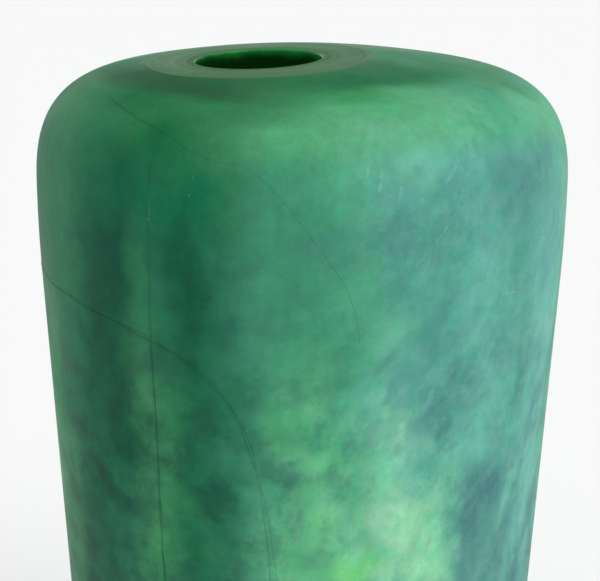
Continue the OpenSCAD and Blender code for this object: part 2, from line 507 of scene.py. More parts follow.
# Vector operations that give one number.
SINGLE_VALUE = ("LENGTH", "DISTANCE", "DOT_PRODUCT")


class Shader:
    """Small wrapper that adds nodes to one material or node group."""

    def __init__(self, tree):
        self.tree = tree

    def add(self, kind, **settings):
        node = self.tree.nodes.new(kind)
        for name, value in settings.items():
            setattr(node, name, value)
        return node

    def feed(self, socket, value):
        if isinstance(value, bpy.types.NodeSocket):
            self.tree.links.new(value, socket)
        elif value is not None:
            socket.default_value = value

    def math(self, operation, a, b=None, clamp=False):
        node = self.add("ShaderNodeMath", operation=operation, use_clamp=clamp)
        self.feed(node.inputs[0], a)
        self.feed(node.inputs[1], b)
        return node.outputs[0]

    def vector(self, operation, a, b=None, scale=None):
        node = self.add("ShaderNodeVectorMath", operation=operation)
        self.feed(node.inputs[0], a)
        self.feed(node.inputs[1], b)
        if scale is not None:
            self.feed(node.inputs["Scale"], scale)
        return node.outputs["Value" if operation in SINGLE_VALUE else "Vector"]

    def remap(self, value, low, high, to_low=0.0, to_high=1.0, smooth=True):
        node = self.add("ShaderNodeMapRange")
        node.interpolation_type = "SMOOTHSTEP" if smooth else "LINEAR"
        self.feed(node.inputs["Value"], value)
        self.feed(node.inputs["From Min"], low)
        self.feed(node.inputs["From Max"], high)
        self.feed(node.inputs["To Min"], to_low)
        self.feed(node.inputs["To Max"], to_high)
        return node.outputs["Result"]

    def noise(self, where, scale, detail, rough, output="Fac"):
        node = self.add("ShaderNodeTexNoise")
        self.feed(node.inputs["Vector"], where)
        self.feed(node.inputs["Scale"], scale)
        self.feed(node.inputs["Detail"], detail)
        self.feed(node.inputs["Roughness"], rough)
        return node.outputs[output]

    def split(self, where):
        """The x, y and z of a vector."""
        node = self.add("ShaderNodeSeparateXYZ")
        self.feed(node.inputs[0], where)
        return node.outputs["X"], node.outputs["Y"], node.outputs["Z"]

    def join(self, x=None, y=None, z=None):
        """Vector of up to three sockets."""
        node = self.add("ShaderNodeCombineXYZ")
        self.feed(node.inputs["X"], x)
        self.feed(node.inputs["Y"], y)
        self.feed(node.inputs["Z"], z)
        return node.outputs["Vector"]

    def place(self):
        """The point that is shaded, in the shared frame, in metres."""
        return self.add("ShaderNodeTexCoord").outputs["Object"]

    def mix(self, amount, a, b, blend="MIX"):
        node = self.add("ShaderNodeMix", data_type="RGBA", blend_type=blend)
        self.feed(node.inputs["Factor"], amount)
        self.feed(node.inputs["A"], a)
        self.feed(node.inputs["B"], b)
        return [s for s in node.outputs if s.type == "RGBA"][0]


def new_material(name):
    """Material with one Principled shader, wired to its output."""
    material = bpy.data.materials.new(name)
    material.use_nodes = True
    tree = material.node_tree
    tree.nodes.clear()
    shader = Shader(tree)
    surface = shader.add("ShaderNodeBsdfPrincipled")
    output = shader.add("ShaderNodeOutputMaterial")
    tree.links.new(surface.outputs["BSDF"], output.inputs["Surface"])
    return material, shader, surface


def rgb(red, green, blue):
    """Display colour, 0 to 255, as a linear colour."""
    def linear(value):
        v = value / 255
        return v / 12.92 if v <= 0.04045 else ((v + 0.055) / 1.055) ** 2.4
    return (linear(red), linear(green), linear(blue), 1.0)


# ---- the mottled glass colour -----------------------------------------------

# The colours of the powders.
INK = rgb(0, 78, 56)
PINE = rgb(0, 88, 60)
FOREST = rgb(14, 98, 66)
IVY = rgb(26, 102, 74)
LEAF = rgb(40, 115, 77)
MEADOW = rgb(46, 132, 80)
VALE = rgb(62, 136, 90)
EMERALD = rgb(2, 104, 68)
FERN = rgb(54, 124, 84)
MOSS = rgb(46, 116, 92)
JADE = rgb(60, 138, 106)
SEA = rgb(70, 150, 115)
SPRING = rgb(74, 151, 105)
LAGOON = rgb(76, 146, 130)
STEEL = rgb(72, 131, 123)
SLATE = rgb(70, 121, 119)
MIST = rgb(88, 155, 143)
MINT = rgb(106, 178, 144)
GLOW = rgb(130, 193, 153)
LIME = rgb(104, 190, 108)
CLOVER = rgb(84, 156, 118)
GRASS = rgb(34, 112, 68)
VERDE = rgb(8, 98, 55)
BOTTLE = rgb(0, 76, 36)
HOLLY = rgb(22, 84, 56)
# Sage, olive and thyme: greyish greens of the painted reflection on the ground flat and the
# crown's far side.
SAGE = rgb(80, 118, 84)
OLIVE = rgb(46, 90, 52)
THYME = rgb(64, 116, 82)
FRESH = rgb(100, 182, 132)
FOAM = rgb(114, 186, 160)
LICHEN = rgb(100, 134, 104)
PALE = rgb(152, 220, 178)

# Streaks round the back of the body: compass angle in degrees and colour.
BACK_LEFT = [(-180, JADE), (-160, SEA), (-145, IVY), (-128, LEAF), (-112, FOREST), (-96, IVY)]
# The crown's far side is a green greyed by painted reflection of the bright surround at a
# grazing angle.
BACK_CROWN = [(-180, THYME), (-140, THYME), (-100, LEAF)]
BACK_RIGHT = [(92, LAGOON), (105, MIST), (122, STEEL), (138, LAGOON), (154, MINT), (180, JADE)]

# Streaks round the front at a few heights in millimetres, from the crown down.
# Between two heights the streaks fade into each other.
STREAKS = [
    (326.8, [(-75, HOLLY), (-50, BOTTLE), (-5, VERDE), (20, VERDE), (50, VERDE), (75, LEAF)]),
    (324.3, [(-80, HOLLY), (-62, BOTTLE), (-48, BOTTLE), (-24, BOTTLE), (-4, GRASS),
             (6, MEADOW), (18, MEADOW), (32, SPRING), (54, JADE), (70, FERN), (82, FERN)]),
    (321.5, [(-80, THYME), (-66, LEAF), (-48, VERDE), (-30, GRASS), (-18, GRASS), (-4, FERN),
             (8, SPRING), (24, SPRING), (40, CLOVER), (58, JADE), (72, FERN), (82, JADE)]),
    (315, [(-80, FERN), (-64, FERN), (-50, LEAF), (-38, GRASS), (-31, VERDE), (-24, GRASS),
           (-15, FERN), (-6, SPRING), (3, SPRING), (14, CLOVER), (34, CLOVER), (50, SEA),
           (68, CLOVER), (82, SEA)]),
    (299, [(-80, IVY), (-70, LEAF), (-56, LEAF), (-46, FOREST), (-38, PINE),
           (-30, EMERALD), (-20, EMERALD), (-15, LEAF), (-8, JADE), (0, JADE), (8, SEA),
           (18, MIST), (26, LAGOON), (36, MIST), (46, STEEL), (58, STEEL), (68, LAGOON),
           (80, SEA)]),
    (265, [(-80, PINE), (-62, LEAF), (-50, FOREST), (-45, INK), (-38, INK), (-33, LEAF),
           (-29, IVY), (-24, PINE), (-19, IVY), (-13, MOSS), (-7, JADE), (3, JADE),
           (12, SEA), (20, LAGOON), (28, LAGOON), (38, MIST), (50, LAGOON), (62, MIST),
           (72, MIST), (82, SEA)]),
    (218, [(-80, FERN), (-68, LEAF), (-60, FOREST), (-52, PINE), (-40, PINE), (-35, FERN),
           (-28, LEAF), (-23, FOREST), (-17, IVY), (-12, MOSS), (-6, JADE), (3, SEA),
           (12, SEA), (19, MIST), (26, MIST), (33, LAGOON), (42, MIST), (54, LAGOON),
           (66, MIST), (82, SEA)]),
    (168, [(-80, FERN), (-68, FERN), (-57, PINE), (-48, IVY), (-40, IVY), (-33, VALE),
           (-27, LEAF), (-22, FOREST), (-13, MOSS), (-8, SEA), (3, CLOVER), (11, MINT),
           (18, MINT), (26, GLOW), (32, MINT), (39, SLATE), (50, STEEL), (60, MIST),
           (70, LAGOON), (82, SEA)]),
    (100, [(-80, IVY), (-62, LEAF), (-46, PINE), (-34, FERN), (-22, IVY), (-10, JADE),
           (4, SEA), (16, MINT), (28, SEA), (40, SLATE), (52, LAGOON), (64, STEEL),
           (80, LAGOON)]),
    (30, [(-80, FOREST), (-55, PINE), (-32, LEAF), (-14, FOREST), (6, MOSS), (24, JADE),
          (42, STEEL), (62, MOSS), (80, STEEL)]),
]

# Above this height the back has the crown's greens, greyed by painted reflection.
CROWN_LINE = 318

# Single soft clouds: compass angle, height, half width, half height, in
# degrees and millimetres, then strength and colour. Later ones lie on top.
CLOUDS = [
    # dark ones on the left
    (-23, 262, 4, 24, 0.5, INK),
    (-47, 275, 7, 10, 0.3, INK),
    (-42, 256, 6, 18, 0.5, INK),
    (-42, 203, 9, 12, 0.7, INK),
    (-50, 184, 7, 10, 0.6, INK),
    (-52, 166, 8, 10, 0.6, INK),
    (-50, 151, 10, 8, 0.6, INK),
    (-64, 180, 5, 18, 0.7, FERN),
    (-22, 168, 7, 12, 0.55, PINE),
    (-20, 152, 16, 8, 0.6, IVY),
    (-18, 199, 9, 10, 0.6, IVY),
    (-14, 208, 4, 10, 0.4, MOSS),
    (-17, 184, 6, 12, 0.6, IVY),
    (-15, 169, 5, 10, 0.5, IVY),
    (-14, 224, 6, 12, 0.7, IVY),
    (-5, 190, 7, 7, 0.3, MOSS),
    (-4, 169, 8, 6, 0.3, MOSS),
    # lights in the middle: pale powder, and partly a painted glow of light through the thinner
    # glass
    (-4, 207, 5, 16, 0.9, SPRING),
    (2, 232, 7, 16, 0.4, SPRING),
    (6, 180, 6, 12, 0.7, MINT),
    (5, 180, 5, 8, 0.35, LIME),
    (10, 192, 4, 7, 0.4, JADE),
    (15, 222, 7, 13, 0.6, MIST),
    (13, 211, 6, 10, 0.6, SEA),
    (-9, 181, 5, 12, 0.7, SEA),
    (17, 180, 4, 9, 0.6, GLOW),
    (20, 249, 5, 15, 0.5, SEA),
    (-4, 161, 6, 9, 0.8, SPRING),
    (20, 204, 8, 18, 0.8, MINT),
    (28, 158, 5, 12, 0.6, GLOW),
    (21, 192, 7, 19, 0.75, MINT),
    (23, 174, 8, 16, 0.75, GLOW),
    (13, 178, 4, 8, 0.5, LAGOON),
    (5, 162, 5, 6, 0.5, JADE),
    (12, 164, 7, 7, 0.9, LIME),
    # slate ones on the right
    (10, 279, 10, 8, 0.4, STEEL),
    (34, 234, 5, 10, 0.3, STEEL),
    (30, 221, 5, 11, 0.4, SLATE),
    (29, 200, 4, 8, 0.3, SLATE),
    (46, 228, 6, 13, 0.35, MIST),
    (45, 187, 5, 11, 0.6, SLATE),
    (49, 201, 4, 9, 0.4, SLATE),
    (38, 153, 4, 7, 0.5, SLATE),
    (42, 168, 5, 8, 0.8, SLATE),
    (34, 173, 3, 9, 0.4, LAGOON),
    (51, 154, 5, 8, 0.6, SLATE),
    (55, 166, 4, 12, 0.25, SLATE),
    (54, 183, 4, 14, 0.7, MIST),
    (40, 207, 6, 12, 0.6, MIST),
    (50, 148, 8, 8, 0.4, MIST),
    (54, 296, 9, 16, 0.4, STEEL),
    # smaller ones on top, all over the front
    (-5, 159, 9, 9, 0.8, FRESH),
    (-7, 172, 5, 10, 0.5, FRESH),
    (-2, 179, 5, 8, 0.4, FRESH),
    (4, 220, 8, 14, 0.45, FRESH),
    (7, 196, 5, 9, 0.7, FRESH),
    (12, 172, 5, 9, 0.95, FRESH),
    (14, 212, 5, 10, 0.45, FOAM),
    (21, 208, 6, 12, 0.6, FOAM),
    (19, 227, 6, 11, 0.45, FOAM),
    (24, 302, 6, 7, 0.45, FOAM),
    (19, 179, 5, 10, 0.85, GLOW),
    (21, 155, 6, 8, 0.6, GLOW),
    (33, 151, 4, 7, 0.6, GLOW),
    (54, 173, 4, 11, 0.6, FOAM),
    (26, 192, 5, 8, 0.5, MIST),
    (38, 221, 4, 9, 0.45, SLATE),
    (35, 170, 4, 8, 0.5, STEEL),
    (38, 152, 4, 6, 0.45, STEEL),
    (-15, 160, 4, 8, 0.5, IVY),
    (-12, 167, 4, 6, 0.35, IVY),
    (12, 203, 5, 8, 0.5, JADE),
    (23, 205, 6, 11, 0.9, FOAM),
    (13, 189, 4, 7, 0.5, SEA),
    (28, 197, 4, 8, 0.5, LAGOON),
    (34, 203, 4, 8, 0.4, FOAM),
    (19, 245, 6, 13, 0.35, FOAM),
    (41, 243, 5, 8, 0.25, FOAM),
    (19, 280, 6, 8, 0.8, STEEL),
    (-3, 254, 5, 9, 0.4, SEA),
    (-59, 186, 5, 10, 0.5, FERN),
    (0, 171, 4, 6, 0.35, JADE),
    (52, 233, 6, 18, 0.45, STEEL),
    (30, 278, 6, 8, 0.35, STEEL),
    (-2, 220, 4, 8, 0.4, JADE),
    (30, 163, 4, 7, 0.4, MINT),
    (13, 184, 4, 7, 0.6, SEA),
    (39, 220, 4, 10, 0.3, STEEL),
    (-21, 214, 4, 8, 0.4, LEAF),
    (-20, 184, 4, 8, 0.4, LEAF),
    (-18, 166, 4, 7, 0.4, FERN),
    (-42, 147, 5, 6, 0.4, FERN),
    (20, 179, 4, 8, 0.35, PALE),
    (12, 172, 3, 6, 0.3, PALE),
    (22, 204, 4, 7, 0.25, PALE),
    (28, 198, 3, 6, 0.5, LAGOON),
    (44, 216, 4, 7, 0.35, LAGOON),
    (40, 211, 4, 7, 0.3, LAGOON),
    (19, 301, 4, 5, 0.3, JADE),
    (64, 319, 6, 4, 0.4, MINT),
    (17, 203, 4, 6, 0.5, SEA),
    (39, 277, 4, 6, 0.35, STEEL),
    (-2, 199, 4, 6, 0.3, MINT),
    (-2, 208, 4, 6, 0.35, JADE),
    (52, 306, 5, 6, 0.35, MIST),
    (22, 260, 4, 6, 0.25, STEEL),
    (-15, 189, 4, 6, 0.25, JADE),
    (-30, 151, 4, 6, 0.4, VALE),
    (4, 270, 4, 7, 0.4, SEA),
    (-15, 231, 4, 7, 0.4, MOSS),
    (19, 216, 4, 7, 0.4, FRESH),
    (60, 181, 5, 8, 0.25, LAGOON),
    (59, 146, 6, 8, 0.5, MIST),
    (34, 286, 4, 6, 0.3, STEEL),
    (-9, 219, 4, 6, 0.5, MOSS),
    (53, 243, 4, 6, 0.3, STEEL),
    (-43, 286, 6, 9, 0.3, EMERALD),
    (-28, 304, 6, 6, 0.35, LEAF),
    (19, 215, 4, 6, 0.4, PALE),
    (-48, 302, 6, 7, 0.3, LEAF),
    # the lower body and the back
    (60, 120, 26, 30, 0.6, SLATE),
    (-10, 110, 20, 24, 0.6, MOSS),
    (14, 120, 12, 30, 0.6, GLOW),
    (-45, 100, 18, 26, 0.6, INK),
    (120, 250, 20, 26, 0.5, SLATE),
    (150, 190, 18, 40, 0.6, MINT),
    (-150, 230, 18, 34, 0.5, INK),
    (-120, 180, 16, 34, 0.6, PINE),
    (-165, 150, 16, 34, 0.6, GLOW),
    (175, 290, 30, 14, 0.5, MIST),
    (110, 140, 22, 30, 0.6, STEEL),
]

# The light patch, where the powder lies thin and the glow of light through the glass is
# painted: like a cloud, without a colour.
THIN_POWDER = (22, 178, 11, 26, 0.6)


def streak_ramp(shader, turn, height, front):
    """Colour by compass angle. turn runs from 0 at -180 degrees to 1 at 180."""
    if height > CROWN_LINE:
        mirrored = [(-angle, colour) for angle, colour in reversed(BACK_CROWN)]
        stops = BACK_CROWN + front + mirrored
    else:
        stops = BACK_LEFT + front + BACK_RIGHT
    node = shader.add("ShaderNodeValToRGB")
    marks = node.color_ramp.elements
    marks[0].color = stops[0][1]
    marks[-1].color = stops[-1][1]
    for angle, colour in stops[1:-1]:
        mark = marks.new((angle + 180) / 360)
        mark.color = colour
    shader.feed(node.inputs["Fac"], turn)
    return node.outputs["Color"]


# A cloud fades in between these parts of its half width.
CLOUD_FADE_START = 1.5
CLOUD_FADE_END = 0.2


def cloud_mask(shader, where, ragged, cloud):
    """Soft mask, 1 in the middle of a cloud and 0 outside it."""
    angle, height, half_width, half_height, strength = cloud[:5]
    middle = skin_point(angle, height, 0.0) * MM
    wide = skin_radius(height) * math.radians(half_width) * MM
    tall = half_height * MM
    offset = shader.vector("SUBTRACT", where, tuple(middle))
    scaled = shader.vector("MULTIPLY", offset, (1 / wide, 1 / wide, 1 / tall))
    distance = shader.math("ADD", shader.vector("LENGTH", scaled), ragged)
    return shader.remap(distance, CLOUD_FADE_START, CLOUD_FADE_END, 0.0, strength)


def centred_noise(shader, where, scale, detail, rough, reach):
    """Noise from -reach to reach."""
    value = shader.noise(where, scale, detail, rough)
    return shader.remap(value, 0.2, 0.8, -reach, reach, smooth=False)


def compass(shader, where):
    """Compass angle of a point in radians: 0 at the front, positive to the right."""
    across, away, _ = shader.split(where)
    return shader.math("ARCTAN2", across, shader.math("MULTIPLY", away, -1.0))


def streaked_colour(shader, where):
    """The streaks of every height, faded into each other."""
    height = shader.split(where)[2]
    turn = shader.remap(compass(shader, where), -math.pi, math.pi, smooth=False)
    colour = streak_ramp(shader, turn, *STREAKS[0])
    for (upper, _), (lower, front) in zip(STREAKS, STREAKS[1:]):
        fade = shader.remap(height, upper * MM, lower * MM)
        colour = shader.mix(fade, colour, streak_ramp(shader, turn, lower, front))
    return colour


GROUND_LEVEL = (WIDEST_HEIGHT + GROUND_RISE) * MM
# Strength of the painted reflection on the ground flat.
GROUND_SHEEN_STRENGTH = 0.85


def ground_mask(shader, place):
    """1 on the ground flat, fading to 0 just below it, and more slowly at the far left."""
    slope = (math.tan(TILT_SIDE), math.tan(TILT_BACK), -1.0)
    tilt = shader.vector("DOT_PRODUCT", place, slope)
    below = shader.math("ADD", tilt, GROUND_LEVEL)
    across, away, _ = shader.split(place)
    left = shader.remap(across, -40 * MM, -56 * MM)
    far_left = shader.math("MULTIPLY", left, shader.remap(away, -12 * MM, 2 * MM))
    reach = shader.remap(far_left, 0.0, 1.0, 0.15 * MM, 1.1 * MM, smooth=False)
    return shader.remap(below, reach, 0.05 * MM)


def ground_colour(shader, place, colour):
    """Painted reflection on the ground flat: a greyish sage sheen for the bright surround seen
    at a grazing angle, with turning marks round the mouth.
    """
    offset = shader.vector("SUBTRACT", place, (MOUTH_X * MM, MOUTH_Y * MM, GROUND_LEVEL))
    radius = shader.vector("LENGTH", offset)
    marks = shader.noise(shader.join(x=radius), 420.0, 4.0, 0.6)
    smear = shader.noise(place, 60.0, 3.0, 0.5)
    marks = shader.math("ADD", marks, shader.math("MULTIPLY", smear, 0.5))
    marks_and_sheen = shader.mix(shader.remap(marks, 0.62, 0.88), OLIVE, SAGE)
    ring = shader.remap(radius, 33.5 * MM, 30 * MM, 0.0, 0.6)
    marks_and_sheen = shader.mix(ring, marks_and_sheen, OLIVE)
    away = shader.split(place)[1]
    marks_and_sheen = shader.mix(shader.remap(away, -15 * MM, -45 * MM, 0.0, 0.5), marks_and_sheen, OLIVE)
    marks_and_sheen = shader.mix(shader.remap(away, 15 * MM, 45 * MM, 0.0, 0.6), marks_and_sheen, LICHEN)
    amount = shader.math("MULTIPLY", ground_mask(shader, place), GROUND_SHEEN_STRENGTH)
    return shader.mix(amount, colour, marks_and_sheen)


def foot_colour(shader, place, colour):
    """One even green on the underside, with a paler ground disc in the middle."""
    across, away, height = shader.split(place)
    radius = shader.vector("LENGTH", shader.join(x=across, y=away))
    under = shader.remap(height, 20 * MM, 6 * MM)
    even = shader.math("MULTIPLY", under, shader.remap(radius, 85 * MM, 50 * MM))
    colour = shader.mix(even, colour, FERN)
    rim_out = (PONTIL_RADIUS + 0.3) * MM
    rim_in = (PONTIL_RADIUS - 0.5) * MM
    disc = shader.remap(radius, rim_out, rim_in, 0.0, 0.6)
    return shader.mix(shader.math("MULTIPLY", under, disc), colour, LICHEN)


def leaning_place(shader, place):
    """The place, sheared so that clouds lie flat on the left and lean on the right."""
    across, away, height = shader.split(place)
    side = shader.remap(across, -50 * MM, 80 * MM)
    level = shader.math("SUBTRACT", height, 200 * MM)
    lean = shader.math("MULTIPLY", shader.math("MULTIPLY", side, level), -0.5)
    stretch = shader.remap(side, 0.0, 1.0, 1.15, 0.6, smooth=False)
    return shader.join(
        shader.math("ADD", across, lean),
        away,
        shader.math("MULTIPLY", level, stretch))


def fine_mottle(shader, place):
    """Fine mottling about white: strongest in the red, as the powder greys the green."""
    mottle = centred_noise(shader, place, 170.0, 4.0, 0.75, 0.17)
    drawn = shader.vector("MULTIPLY", place, (1.0, 1.0, 0.1))
    mottle = shader.math("ADD", mottle, centred_noise(shader, drawn, 260.0, 3.0, 0.6, 0.06))
    haze = centred_noise(shader, place, 150.0, 4.0, 0.78, 0.36)
    value = shader.math("ADD", mottle, 1.0)
    red = shader.math("ADD", value, haze)
    blue = shader.math("ADD", value, shader.math("MULTIPLY", haze, 0.3))
    tint = shader.add("ShaderNodeCombineColor")
    shader.feed(tint.inputs["Red"], red)
    shader.feed(tint.inputs["Green"], value)
    shader.feed(tint.inputs["Blue"], blue)
    return tint.outputs["Color"]


# What the powder clouds do to the colour under them.
DARK_POWDER = (0.56, 0.64, 0.76, 1.0)
LIGHT_POWDER = (1.25, 1.21, 1.14, 1.0)


def mottled_glass():
    """Node group that gives the colour of the glass at a point."""
    tree = bpy.data.node_groups.new("mottled_glass", "ShaderNodeTree")
    tree.interface.new_socket("Colour", in_out="OUTPUT", socket_type="NodeSocketColor")
    shader = Shader(tree)
    place = shader.place()
    height = shader.split(place)[2]

    # Cloudy drift, so that no streak keeps a clean outline. The crown is calm.
    drift = shader.noise(place, 32.0, 3.5, 0.55, "Color")
    drift = shader.vector("SUBTRACT", drift, (0.5, 0.5, 0.5))
    drift = shader.vector("MULTIPLY", drift, (20 * MM, 20 * MM, 26 * MM))
    calm = shader.remap(height, 296 * MM, 318 * MM, 1.0, 0.12)
    where = shader.vector("ADD", place, shader.vector("SCALE", drift, scale=calm))
    colour = streaked_colour(shader, where)

    ragged = centred_noise(shader, place, 85.0, 4.5, 0.66, 0.5)
    for cloud in CLOUDS:
        mask = cloud_mask(shader, where, ragged, cloud)
        colour = shader.mix(mask, colour, cloud[-1])

    colour = foot_colour(shader, place, colour)

    # Powder clouds, dark bluish ones and light ones, strongest on the lower body.
    powder = shader.noise(leaning_place(shader, place), 62.0, 4.0, 0.6)
    strength = shader.remap(height, 270 * MM, 205 * MM, 0.28, 0.85)
    strength = shader.math("MULTIPLY", strength, calm)
    thin = cloud_mask(shader, where, ragged, THIN_POWDER)
    strength = shader.math("MULTIPLY", strength, shader.math("SUBTRACT", 1.0, thin))
    amount = shader.math("MULTIPLY", shader.remap(powder, 0.48, 0.66), strength)
    colour = shader.mix(amount, colour, DARK_POWDER, "MULTIPLY")
    amount = shader.math("MULTIPLY", shader.remap(powder, 0.55, 0.36), strength)
    colour = shader.mix(amount, colour, LIGHT_POWDER, "MULTIPLY")
    colour = shader.mix(1.0, colour, fine_mottle(shader, place), "MULTIPLY")
    # Painted reflection on the ground flat, over its turning marks.
    colour = ground_colour(shader, place, colour)

    output = shader.add("NodeGroupOutput")
    shader.feed(output.inputs["Colour"], colour)
    return tree


GLASS_COLOUR = mottled_glass()


def glass_colour(shader):
    """The mottled colour, as a socket of another material."""
    group = shader.add("ShaderNodeGroup")
    group.node_tree = GLASS_COLOUR
    return group.outputs["Colour"]


# ---- rubbed marks in the satin -----------------------------------------------

# Compass angle and height of both ends, half width in mm, and strength.
MARKS = [
    # the long scratch that leans over the right shoulder
    (35.0, 301, 33.0, 295, 0.14, 0.3),
    (33.0, 295, 31.0, 288, 0.16, 0.5),
    (31.0, 288, 28.6, 282, 0.16, 0.5),
    (28.6, 282, 25.3, 276, 0.14, 0.45),
    (25.3, 276, 22.5, 271, 0.14, 0.35),
    (35.0, 273, 28.5, 258, 0.12, 0.25),
    (33.0, 305, 29.0, 298, 0.6, 0.2),
    # short rubs beside it
    (15.6, 303, 15.0, 298, 0.7, 0.35),
    (19.4, 298, 18.7, 294, 0.6, 0.25),
    (13.0, 305, 12.6, 302, 0.4, 0.25),
    (42.7, 266, 43.7, 258, 0.25, 0.3),
    (45.8, 256, 51.4, 254.5, 0.3, 0.3),
    # bright nicks
    (59.3, 273, 58.7, 271.5, 0.24, 0.9),
    (58.0, 271, 56.8, 268.5, 0.18, 0.6),
    (57.2, 293.4, 57.2, 293, 0.24, 0.7),
    (23.7, 293.6, 23.7, 293.2, 0.22, 0.6),
    # left shoulder
    (-31.6, 297, -30.9, 287, 0.35, 0.16),
    (-21.7, 300.8, -21.7, 300.6, 0.22, 0.4),
    (-22.1, 295, -22.2, 294.6, 0.22, 0.4),
    # fine lines in the light patch
    (19.5, 192, 22.5, 197, 0.12, 0.25),
    (25.6, 191.8, 28.5, 192.6, 0.12, 0.25),
    # sides and back
    (96, 290, 88, 268, 0.16, 0.4),
    (132, 284, 139, 262, 0.16, 0.4),
    (150, 240, 147, 229, 0.5, 0.25),
    (-168, 225, -160, 214, 0.14, 0.4),
    (-135, 272, -137, 258, 0.45, 0.25),
    (-104, 210, -110, 195, 0.16, 0.35),
]


# A mark fades in between these parts of its half width.
MARK_OUTER = 1.6
MARK_INNER = 0.3


def mark_mask(shader, place, mark):
    """Soft line on the skin between the two ends of a mark."""
    angle_a, height_a, angle_b, height_b, half_width, strength = mark
    start = skin_point(angle_a, height_a, 0.0) * MM
    span = skin_point(angle_b, height_b, 0.0) * MM - start
    offset = shader.vector("SUBTRACT", place, tuple(start))
    along = shader.vector("DOT_PRODUCT", offset, tuple(span / span.length_squared))
    along = shader.math("MULTIPLY", along, 1.0, clamp=True)
    nearest = shader.vector("SCALE", tuple(span), scale=along)
    distance = shader.vector("DISTANCE", offset, nearest)
    reach = half_width * MM
    return shader.remap(distance, MARK_OUTER * reach, MARK_INNER * reach, 0.0, strength)


def brushed_lines(shader, place):
    """Mask of faint lines that lean to the right as they rise, mostly on the right."""
    across, _, height = shader.split(place)
    leaning = shader.math("MULTIPLY", compass(shader, place), BODY_RADIUS * MM)
    leaning = shader.math("SUBTRACT", leaning, shader.math("MULTIPLY", height, 0.4))
    brushed = shader.join(x=leaning, z=shader.math("MULTIPLY", height, 0.03))
    fine = shader.remap(shader.noise(brushed, 1500.0, 2.0, 0.5), 0.62, 0.78, 0.0, 0.22)
    veil = shader.remap(shader.noise(brushed, 520.0, 3.0, 0.6), 0.45, 0.72, 0.0, 0.05)
    sparse = shader.remap(shader.noise(place, 24.0, 3.0, 0.6), 0.5, 0.7)
    lines = shader.math("MULTIPLY", shader.math("MAXIMUM", fine, veil), sparse)
    rubbed_side = shader.remap(across, -40 * MM, 30 * MM, 0.15, 1.0)
    return shader.math("MULTIPLY", lines, rubbed_side)


def rubbed_marks(shader, place):
    """Mask of the marks above, with sparse fine lines and specks."""
    marks = brushed_lines(shader, place)
    cells = shader.add("ShaderNodeTexVoronoi")
    shader.feed(cells.inputs["Vector"], place)
    cells.inputs["Scale"].default_value = 130.0
    speck = shader.remap(cells.outputs["Distance"], 0.05, 0.02, 0.0, 0.45)
    # Pale specks, kept to scattered patches.
    speck_patches = shader.remap(shader.noise(place, 33.0, 2.0, 0.5), 0.56, 0.68)
    marks = shader.math("MAXIMUM", marks, shader.math("MULTIPLY", speck, speck_patches))
    height = shader.split(place)[2]
    clean_crown = shader.remap(height, 322 * MM, 308 * MM, 0.15, 1.0)
    marks = shader.math("MULTIPLY", marks, clean_crown)

    broken = shader.remap(shader.noise(place, 420.0, 3.0, 0.6), 0.4, 0.62, 0.05, 0.42)
    for mark in MARKS:
        line = shader.math("MULTIPLY", mark_mask(shader, place, mark), broken)
        marks = shader.math("MAXIMUM", marks, line)
    return marks


# ---- materials --------------------------------------------------------------

RUBBED = rgb(196, 226, 208)

# Weak mirror reflection of etched and of ground glass.
GLASS_SPECULAR = 0.12


def satin_casing_material():
    """Acid-satin outer glass."""
    material, shader, surface = new_material("satin_casing")
    place = shader.place()
    marks = rubbed_marks(shader, place)
    colour = shader.mix(marks, glass_colour(shader), RUBBED)
    shader.feed(surface.inputs["Base Color"], colour)
    grain = shader.noise(place, 900.0, 3.0, 0.6)
    cloud = shader.noise(place, 30.0, 3.0, 0.5)
    rough = shader.remap(cloud, 0.3, 0.7, 0.46, 0.58)
    rough = shader.math("SUBTRACT", rough, shader.math("MULTIPLY", marks, 0.12))
    shader.feed(surface.inputs["Roughness"], rough)
    surface.inputs["Specular IOR Level"].default_value = GLASS_SPECULAR
    surface.inputs["Subsurface Weight"].default_value = 0.25
    surface.inputs["Subsurface Radius"].default_value = (0.5, 1.0, 0.8)
    surface.inputs["Subsurface Scale"].default_value = 0.003
    bump = shader.add("ShaderNodeBump")
    bump.inputs["Strength"].default_value = 0.08
    bump.inputs["Distance"].default_value = 0.0002
    shader.feed(bump.inputs["Height"], grain)
    shader.feed(surface.inputs["Normal"], bump.outputs["Normal"])
    return material


def coat_material():
    """Fused colour powder, seen as a thin ring at the mouth."""
    material, shader, surface = new_material("powder_coat")
    place = shader.place()
    speckle = shader.remap(shader.noise(place, 500.0, 3.0, 0.6), 0.35, 0.65)
    colour = shader.mix(speckle, rgb(34, 78, 40), rgb(58, 98, 62))
    shader.feed(surface.inputs["Base Color"], colour)
    surface.inputs["Roughness"].default_value = 0.55
    surface.inputs["Specular IOR Level"].default_value = GLASS_SPECULAR
    return material


